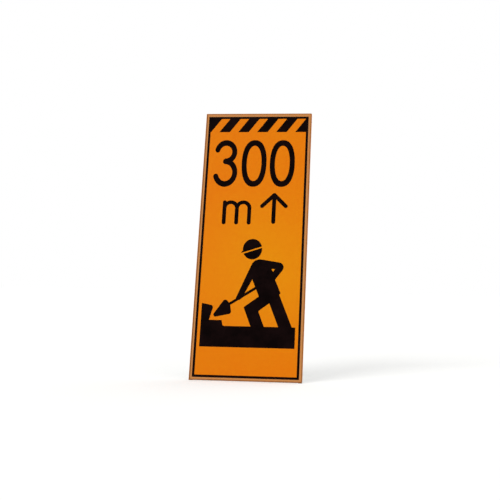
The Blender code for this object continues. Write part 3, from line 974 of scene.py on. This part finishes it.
def weldPiece(name, corners, place, body, closed=False):
    # a round section swept along the joint, swelling at each ripple
    bead = weldBead
    spots = evenSpots(roundedLine(corners, closed), bead["ripple"] / bead["stepsToRipple"], closed)
    curve = bpy.data.curves.new(name, "CURVE")
    curve.dimensions = "3D"
    curve.bevel_depth = bead["radius"]
    curve.bevel_resolution = bead["resolution"]
    curve.use_fill_caps = True
    line = curve.splines.new("POLY")
    line.points.add(len(spots) - 1)
    line.use_cyclic_u = closed
    for index, (point, spot) in enumerate(zip(line.points, spots)):
        where = place @ Vector((spot.x, spot.y, 0))
        drift = noise.noise_vector(where * bead["wanderToMetre"]) * bead["wander"]
        point.co = (*(where + drift), 1)
        swell = bead["swell"] * math.cos(2 * math.pi * index / bead["stepsToRipple"])
        uneven = bead["uneven"] * noise.noise(where * bead["unevenToMetre"])
        fromEnd = min(index, len(spots) - 1 - index)
        ending = 1.0 if closed else min(1.0, bead["endSize"] + bead["endGrowth"] * fromEnd)
        point.radius = ending * (1 + swell + uneven)
    piece = meshFromCurve(name, curve)
    smoothEdges(piece, "weld")
    finishPiece(piece, body, spray)


def acrossJoint(x):
    # a plane square to X, whose own X runs to the back and own Y up
    return Matrix(((0, 0, 1, x), (1, 0, 0, 0), (0, 1, 0, 0), (0, 0, 0, 1)))


def weldRails():
    back = tube / 2 - weldBead["sunk"]
    over = tube / 2
    start = -tube / 4
    turn = weldBead["corner"]
    short = over - weldBead["short"]
    around = [(start, over), (back, over, turn), (back, -over, turn), (start, -over)]
    paths = {
        "rail_top": [(back, short), *around[2:]],
        "rail_hinge": around,
        "rail_lower": around,
        "rail_bottom": [*around[:2], (back, -short)],
    }
    for rail, path in paths.items():
        spot = onBoard(rail)
        for side, word in sides:
            place = boardPlace @ Matrix.Translation((0, spot.y, spot.z)) @ acrossJoint(side * stileInside)
            weldPiece(f"weld_{rail}_{word}", path, place, "board")


def weldBars():
    flush = tube / 2 - weldBead["sunk"]
    over = tube / 2
    turn = weldBead["corner"]
    path = [(-flush, -over, turn), (flush, -over, turn), (flush, over, turn), (-flush, over, turn)]
    for bar in bars:
        for side, word in sides:
            place = propPlace @ Matrix.Translation((0, 0, onProp(bar).z)) @ acrossJoint(side * armInside)
            weldPiece(f"weld_{bar}_{word}", path, place, "prop", closed=True)


bracketWeld = {
    "across": 0.0132,  # from the hinge's middle, on the bracket's bends
    "low": -0.0060,  # from the hinge rail's middle
    "high": 0.0071,
    "corner": 0.003,
    "overRail": 0.0002,
    "underAcross": 0.0090,
    "underRail": 0.0002,
    "underIn": 0.0009,
}


def weldBrackets():
    look = bracketWeld
    across = look["across"]
    top = look["high"]
    turn = look["corner"]
    hoop = [(-across, look["low"]), (-across, top, turn), (across, top, turn), (across, look["low"])]
    under = [(-look["underAcross"], 0), (look["underAcross"], 0)]
    middle = onBoard("rail_hinge")
    back = middle.y + tube / 2
    beads = (
        ("weld_bracket_", hoop, back + look["overRail"], middle.z),
        ("weld_bracket_under_", under, back - look["underIn"], middle.z - (tube / 2 + look["underRail"])),
    )
    standing = Matrix.Rotation(math.pi / 2, 4, "X")
    for side, word in sides:
        for name, path, depth, height in beads:
            place = boardPlace @ Matrix.Translation((side * hingeX, depth, height)) @ standing
            weldPiece(name + word, path, place, "board")


noise.seed_set(weldBead["seed"])
spray = patchyMaterial("zincSpray", boardPlace, zincSpray)
weldRails()
weldBars()
weldBrackets()
print("welds done")


# Blind rivets

zincPlate = {
    # Bright zinc electroplate, clear passivated: smooth grey metal with a faint cool
    # and yellow shimmer, duller in the hollows.
    "tones": ("#c6cbcf", "#c9c6b8"),
    "patch": {"Scale": 1 / 0.0077, "Detail": 3.0},
    "patches": {"From Min": 0.4, "From Max": 0.6},
    "grain": {"Scale": 1 / 0.00055, "Detail": 2.0},  # coarser than the plate's own, so that it shows
    "bump": {"Strength": 0.15, "Distance": 0.00003},
    "glossOf": "grain",
    "roughness": {"From Min": 0.3, "From Max": 0.7, "To Min": 0.24, "To Max": 0.40},
    "shader": {"Metallic": 1.0},
}

stemSteel = {
    # The steel stem that snapped off inside the rivet: bare, dark and rough, and rusting.
    "tones": ("#6d6a66", "#5a4634"),
    "patch": {"Scale": 1 / 0.0014, "Detail": 3.0},
    "patches": {"From Min": 0.45, "From Max": 0.6},
    "glossOf": "patch",
    "roughness": {"To Min": 0.45, "To Max": 0.75},
    "shader": {"Metallic": 0.8},
}

rivetShape = {
    "steps": 28,
    "headRadius": 0.0040,
    "rim": 0.00035,
    "dome": 0.0013,
    "domeSteps": 5,
    "shankRadius": 0.0020,
    "mouthRadius": 0.00120,
    "mouthDepth": 0.0007,
    "mouthTaper": 0.0001,
    "seat": 0.0003,
    "grip": 0.0023,
    "bulbRadius": 0.0029,
    "shoulder": 0.0005,
    "nose": 0.0010,
    "bulb": 0.0035,
    "stemRadius": 0.00095,
    # the stem's snapped end: shares of its radius, and heights over the mouth's floor
    "snapped": ((0, 0.00045), (0.5, 0.00038), (0.85, 0.0003), (1, 0.00018), (1, -0.0002), (0, -0.0002)),
    "stemSteps": 16,
}


def rivetPattern():
    look = rivetShape
    top = look["seat"] + look["dome"]
    rise = look["dome"] - look["rim"]
    mouth = look["mouthRadius"]
    floor = top - look["mouthDepth"]
    grip = look["grip"]
    shank = look["shankRadius"]
    bulb = look["bulbRadius"]
    profile = [(0, floor), (mouth - look["mouthTaper"], floor)]
    # the head's dome falls from the mouth to the rim
    for step in range(look["domeSteps"] + 1):
        along = step / look["domeSteps"]
        profile.append((mouth + (look["headRadius"] - mouth) * along, top - rise * along ** 2))
    profile += [
        (look["headRadius"], look["seat"]),
        (shank, look["seat"]),
        (shank, -grip),
        (bulb, -grip - look["shoulder"]),
        (bulb, look["nose"] - grip - look["bulb"]),
        (0, -grip - look["bulb"]),
    ]
    shell = turned("rivet", profile, look["steps"])
    shell.data.materials.append(rivetZinc)
    snapped = [(look["stemRadius"] * share, floor + height) for share, height in look["snapped"]]
    stem = turned("stem", snapped, look["stemSteps"])
    stem.data.materials.append(brokenSteel)
    return joined(shell, stem)


def placeRivets():
    pattern = rivetPattern()
    for node in sorted(frame["nodes"]):
        if not node.startswith("rivet_"):
            continue
        spot = onBoard(node)
        if "top" in node:
            place = Matrix.Translation((spot.x, onBoard("rail_top").y, board["height"]))
        else:
            side = math.copysign(1, spot.x)
            place = Matrix.Translation((side * board["width"] / 2, spot.y, spot.z))
            place = place @ Matrix.Rotation(side * math.pi / 2, 4, "Y")
        piece = copyOf(pattern, node + "_finish", boardPlace @ place)
        finishPiece(piece, "board")
        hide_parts(node)
    bpy.data.objects.remove(pattern, do_unlink=True)


rivetZinc = patchyMaterial("rivetZinc", boardPlace, zincPlate)
brokenSteel = patchyMaterial("stemSteel", boardPlace, stemSteel)
placeRivets()
print("rivets done")


# Pivot fasteners, modelled along Z from the hinge's middle outwards

hexHead = {
    "flats": 0.0130,
    "turn": math.radians(4.5),  # half a step, so that its corners miss the edges of what trims it
    "clear": 0.0005,  # how far what trims it stands off its corners
    "crown": 0.0060,  # radius of the flat on top, inside the chamfer
    "chamfer": 0.0011,
    "washerFace": 0.0003,
}
hexCorner = hexHead["flats"] / math.sqrt(3)

boltThread = {
    "crest": 0.00392,
    "root": 0.00338,
    "pitch": 0.00125,
    "turns": 5,
    "steps": 32,
    "flanks": (0.42, 0.58, 0.98),  # along the pitch: the crest's two edges and the ridge's end
    "rooted": 0.0002,  # how far the ridge starts below the root, inside the shank
    "lift": 0.0003,  # from the bolt's end
    "core": 0.0001,  # how far the shank's core stands over the root
    "runOut": 0.0004,
    "point": 0.0005,
    "inHead": 0.001,
}

lockNut = {
    "hexHeight": 0.0058,
    "seatIn": 0.0002,
    "bore": 0.00405,
    "collarRadius": 0.0060,
    "collarSunk": 0.0003,
    "collarWall": 0.0010,
    "collarTurn": ((0.0002, 0.0003), (0.0006, 0)),  # in from its side and down from its top
    "lipSunk": 0.0001,
    "ringInner": 0.00385,
    "ringOuter": 0.0050,
    "ringGrip": 0.0001,
    "ringSunk": 0.0002,
    "ringDown": 0.0004,
    "ringChamfer": 0.0003,
}

washerEdge = {
    "bore": 0.0043,
    "rolled": 0.0004,  # one edge is rounded by the punch
    "sheared": 0.0001,
    "rolledSteps": 4,
    "steps": 48,
}

spacerEdge = {
    "fit": 0.0003,  # round the sleeve
    "rolled": 0.0002,
    "sheared": 0.0001,
}

tightened = {"left": 41, "right": 17, "nut": 23}  # degrees; each was tightened to where it stopped

naturalNylon = {
    # Natural polyamide, moulded: milky white, softly shining, lit a little from within.
    "tones": ("#e6e2d4", "#d8d2c0"),
    "patch": {"Scale": 1 / 0.0042, "Detail": 3.0},
    "patches": {"From Min": 0.4, "From Max": 0.65},
    "glossOf": "patch",
    "roughness": {"To Min": 0.38, "To Max": 0.52},
    "shader": {
        "Subsurface Weight": 0.15,
        "Subsurface Radius": (0.0020, 0.0015, 0.0010),
        "Subsurface Scale": 1.0,
    },
}


def hexBlock(name, low, high, envelope):
    # a hexagonal block with its corners trimmed by a turned shape
    bpy.ops.object.select_all(action="DESELECT")
    bpy.ops.mesh.primitive_cylinder_add(
        vertices=6,
        radius=hexCorner,
        depth=high - low,
        location=(0, 0, (low + high) / 2),
        rotation=(0, 0, hexHead["turn"]),
    )
    block = bpy.context.object
    block.name = name
    bpy.ops.object.transform_apply(location=True, rotation=True)
    combine(block, turned("envelope", envelope), "INTERSECT")
    smoothEdges(block, "hexagon")
    return block


def boltPattern(headLow, headHigh, tail):
    crown = hexHead["crown"]
    clear = hexCorner + hexHead["clear"]
    lip = headLow + hexHead["washerFace"]
    head = hexBlock("bolt", headLow, headHigh, [
        (0, headHigh),
        (crown, headHigh),
        (clear, headHigh - hexHead["chamfer"]),
        (clear, lip),
        (crown, lip),
        (crown, headLow),
        (0, headLow),
    ])
    look = boltThread
    crest = look["crest"]
    root = look["root"]
    core = root + look["core"]
    pitch = look["pitch"]
    threadStart = tail + pitch * look["turns"]
    inHead = headLow + look["inHead"]
    shank = turned("shank", [
        (0, inHead),
        (crest, inHead),
        (crest, threadStart + look["runOut"]),
        (core, threadStart),
        (core, tail + look["point"]),
        (root - look["point"], tail),
        (0, tail),
    ])
    # the thread is a closed ridge, rooted inside the shank and closed at both ends
    rooted = root - look["rooted"]
    first, second, last = look["flanks"]
    ridge = traced("thread", [
        Vector((rooted, 0, 0)),
        Vector((crest, 0, pitch * first)),
        Vector((crest, 0, pitch * second)),
        Vector((rooted, 0, pitch * last)),
        Vector((rooted, 0, 0)),
    ])
    closeUp(ridge)
    applyModifier(
        ridge,
        "SCREW",
        axis="Z",
        angle=2 * math.pi,
        screw_offset=pitch,
        iterations=look["turns"] - 1,
        steps=look["steps"],
        render_steps=look["steps"],
        use_merge_vertices=True,
        merge_threshold=mergeDistance,
    )
    ridge.data.transform(Matrix.Translation((0, 0, tail + look["lift"])))
    closeUp(ridge, 4)
    return joined(head, shank, ridge)


def nutPattern(height):
    # it grows along Z from its seat
    look = lockNut
    bore = look["bore"]
    crown = hexHead["crown"]
    clear = hexCorner + hexHead["clear"]
    chamfer = hexHead["chamfer"]
    top = look["hexHeight"]
    block = hexBlock("nut", 0, top, [
        (bore, 0),
        (crown - look["seatIn"], 0),
        (clear, chamfer),
        (clear, top - chamfer),
        (crown, top),
        (bore, top),
        (bore, 0),
    ])
    outer = look["collarRadius"]
    ring = look["ringOuter"]
    foot = top - look["collarSunk"]
    profile = [(ring, foot), (outer, foot), (outer, top + look["collarWall"])]
    profile += [(outer - inwards, height - down) for inwards, down in look["collarTurn"]]
    profile += [(ring, height - look["lipSunk"]), (ring, foot)]
    return joined(block, turned("collar", profile))


def nutRingPattern(height):
    look = lockNut
    inner = look["ringInner"]
    outer = look["ringOuter"] + look["ringGrip"]
    low = look["hexHeight"] - look["ringSunk"]
    high = height - look["ringDown"]
    chamfer = look["ringChamfer"]
    return turned("nylon_ring", [
        (inner, low),
        (outer, low),
        (outer, high),
        (inner + chamfer, high),
        (inner, high - chamfer),
        (inner, low),
    ])


def ringPattern(name, bore, outer, thickness, rolled, sheared):
    half = thickness / 2
    low = sheared - half
    profile = [(bore, low), (bore + sheared, -half), (outer - sheared, -half), (outer, low)]
    steps = washerEdge["rolledSteps"]
    for step in range(steps + 1):
        angle = math.pi / 2 * step / steps
        profile.append((outer - rolled + rolled * math.cos(angle), half - rolled + rolled * math.sin(angle)))
    profile += [(bore + sheared, half), (bore, -low), (bore, low)]
    return turned(name, profile, washerEdge["steps"])


def fromHinge(node):
    # where a node on the right starts and ends along the hinge's own Z
    low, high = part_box(node)
    return low.x - hingeX, high.x - hingeX


def replaceNode(pattern, node, material, place, turn=0):
    piece = copyOf(pattern, node + "_finish", place @ Matrix.Rotation(math.radians(turn), 4, "Z"))
    finishPiece(piece, "board", material)
    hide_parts(node)


def placeFasteners():
    tail, headHigh = fromHinge("pivot_bolt_right")
    nutHigh, nutLow = fromHinge("pivot_nut_right")
    washerLow, washerHigh = fromHinge("pivot_washer_outer_right")
    spacerLow, spacerHigh = fromHinge("pivot_spacer_outer_right")
    washerMiddle = Matrix.Translation((0, 0, (washerLow + washerHigh) / 2))
    spacerMiddle = Matrix.Translation((0, 0, (spacerLow + spacerHigh) / 2))
    seat = nutLow + washerHigh  # the fit left between the washer and what presses on it
    nutHeight = nutLow - nutHigh
    spacerBore = sizeOf("pivot_sleeve_right").y / 2 + spacerEdge["fit"]
    spacerOuter = sizeOf("pivot_spacer_outer_right").y / 2
    washerOuter = sizeOf("pivot_washer_outer_right").y / 2
    bolt = boltPattern(washerHigh - seat, headHigh, tail)
    nut = nutPattern(nutHeight)
    nylonRing = nutRingPattern(nutHeight)
    edge = (washerEdge["rolled"], washerEdge["sheared"])
    disc = ringPattern("washer", washerEdge["bore"], washerOuter, washerHigh - washerLow, *edge)
    edge = (spacerEdge["rolled"], spacerEdge["sheared"])
    pad = ringPattern("spacer", spacerBore, spacerOuter, spacerHigh - spacerLow, *edge)
    flipped = Matrix.Rotation(math.pi, 4, "X")
    for side, word in sides:
        hinge = hingePlace(side)
        spin = tightened[word]
        replaceNode(bolt, f"pivot_bolt_{word}", boltZinc, hinge, spin)
        nutPlace = hinge @ Matrix.Translation((0, 0, nutLow)) @ flipped
        replaceNode(nut, f"pivot_nut_{word}", boltZinc, nutPlace, spin + tightened["nut"])
        ring = copyOf(nylonRing, f"nut_ring_{word}", nutPlace)
        finishPiece(ring, "board", nylon)
        for end, facing in (("outer", hinge), ("inner", hinge @ flipped)):
            washer = f"pivot_washer_{end}_{word}"
            replaceNode(disc, washer, boltZinc, facing @ washerMiddle)
            spacer = f"pivot_spacer_{end}_{word}"
            replaceNode(pad, spacer, nylon, facing @ spacerMiddle)
        dress(f"pivot_sleeve_{word}", boltZinc)
    for pattern in (bolt, nut, nylonRing, disc, pad):
        bpy.data.objects.remove(pattern, do_unlink=True)


boltZinc = patchyMaterial("boltZinc", propPlace, zincPlate)
nylon = patchyMaterial("naturalNylon", boardPlace, naturalNylon)
placeFasteners()
print("fasteners done")


# Feet

mouldedPlastic = {
    # Injection moulded polyethylene, black: spark-eroded texture, greyed where it
    # stands on the road.
    "tones": ("#1b1c1d", "#2a2b2b"),
    "patch": {"Scale": 1 / 0.011, "Detail": 4.0},
    "patches": {"From Min": 0.4, "From Max": 0.65},
    "grain": {"Scale": 1 / 0.0009, "Detail": 2.0},  # pits of about 0.2 mm, drawn coarser to show
    "bump": {"Strength": 0.3, "Distance": 0.00006},
    "glossOf": "patch",
    "roughness": {"From Min": 0.3, "From Max": 0.7, "To Min": 0.48, "To Max": 0.66},
    "shader": {"Specular IOR Level": 0.35},
    "scuff": "#5b574f",
    "scuffing": {"From Max": 0.004, "To Min": 0.8, "To Max": 0.0},  # up from the ground
}


def footMaterial():
    material, tree, shader, spot = newMaterial("mouldedPolyethylene", Matrix())
    made = addPatches(tree, shader, spot, mouldedPlastic)
    height = addNode(tree, "SeparateXYZ", {}, {"Vector": spot}).outputs["Z"]
    near = addNode(tree, "MapRange", mouldedPlastic["scuffing"], {"Value": height})
    scuffAndEdgeShade = addNode(tree, "Math", {"operation": "MULTIPLY"}, {0: near, 1: made["grain"]})
    scuff = {"data_type": "RGBA", 7: linear(mouldedPlastic["scuff"])}
    tone = addNode(tree, "Mix", scuff, {0: scuffAndEdgeShade, 6: made["tone"]}).outputs[2]
    wire(tree, shader, {"Base Color": tone})
    return material


footPlastic = footMaterial()
for side, word in sides:
    dress("front_foot_" + word, footPlastic)
    dress("rear_foot_" + word, footPlastic)
print("feet dressed")


# Floor, lamps and surround

white = (1, 1, 1, 1)
studio = {
    "surround": {"To Min": 0.50},  # the light from all round, under the white that shows
    "floor": {
        "Base Color": linear("#f2f2f0"),
        "Roughness": 0.9,
        "Specular IOR Level": 0.0,
        "Emission Color": white,
    },
    "floorLift": {"To Max": 0.28},  # what the camera sees on top of the light that falls on the floor
    "floorSize": 80,
    "lampDistance": 3,
    "lamps": {  # the side each large soft lamp stands on, its power and its spread in degrees
        "keyLamp": ((-0.45, -0.70, 0.56), 1.15, 30),
        "fillLamp": ((0.60, -0.70, 0.35), 0.35, 50),
        "backLamp": ((0.35, 0.55, 0.75), 0.45, 50),
    },
}


def seenWhite(tree):
    # 1 for what the camera sees, directly, in metal or through glass
    path = addNode(tree, "LightPath", {}, {}).outputs
    seen = path["Is Camera Ray"]
    for kind in ("Is Glossy Ray", "Is Transmission Ray"):
        seen = addNode(tree, "Math", {"operation": "MAXIMUM"}, {0: seen, 1: path[kind]})
    return seen


def makeFloor():
    bpy.ops.object.select_all(action="DESELECT")
    bpy.ops.mesh.primitive_plane_add(size=studio["floorSize"])
    floor = bpy.context.object
    floor.name = "floor"
    material = bpy.data.materials.new("paleFloor")
    material.use_nodes = True
    tree = material.node_tree
    shader = tree.nodes["Principled BSDF"]
    adjust(shader, studio["floor"])
    lift = addNode(tree, "MapRange", studio["floorLift"], {"Value": seenWhite(tree)})
    wire(tree, shader, {"Emission Strength": lift})
    floor.data.materials.append(material)


def makeSurround():
    world = bpy.data.worlds.new("whiteSurround")
    world.use_nodes = True
    tree = world.node_tree
    back = tree.nodes["Background"]
    adjust(back, {"Color": white})
    level = addNode(tree, "MapRange", studio["surround"], {"Value": seenWhite(tree)})
    wire(tree, back, {"Strength": level})
    bpy.context.scene.world = world


def makeLamp(name, side, power, spread):
    bpy.ops.object.light_add(type="SUN", location=Vector(side) * studio["lampDistance"])
    lamp = bpy.context.object
    lamp.name = name
    lamp.data.energy = power
    lamp.data.angle = math.radians(spread)
    lamp.rotation_mode = "QUATERNION"
    lamp.rotation_quaternion = (-Vector(side)).to_track_quat("-Z", "Y")


makeFloor()
makeSurround()
for name, (side, power, spread) in studio["lamps"].items():
    makeLamp(name, side, power, spread)
bpy.context.scene.view_settings.view_transform = "Standard"
print("studio ready")
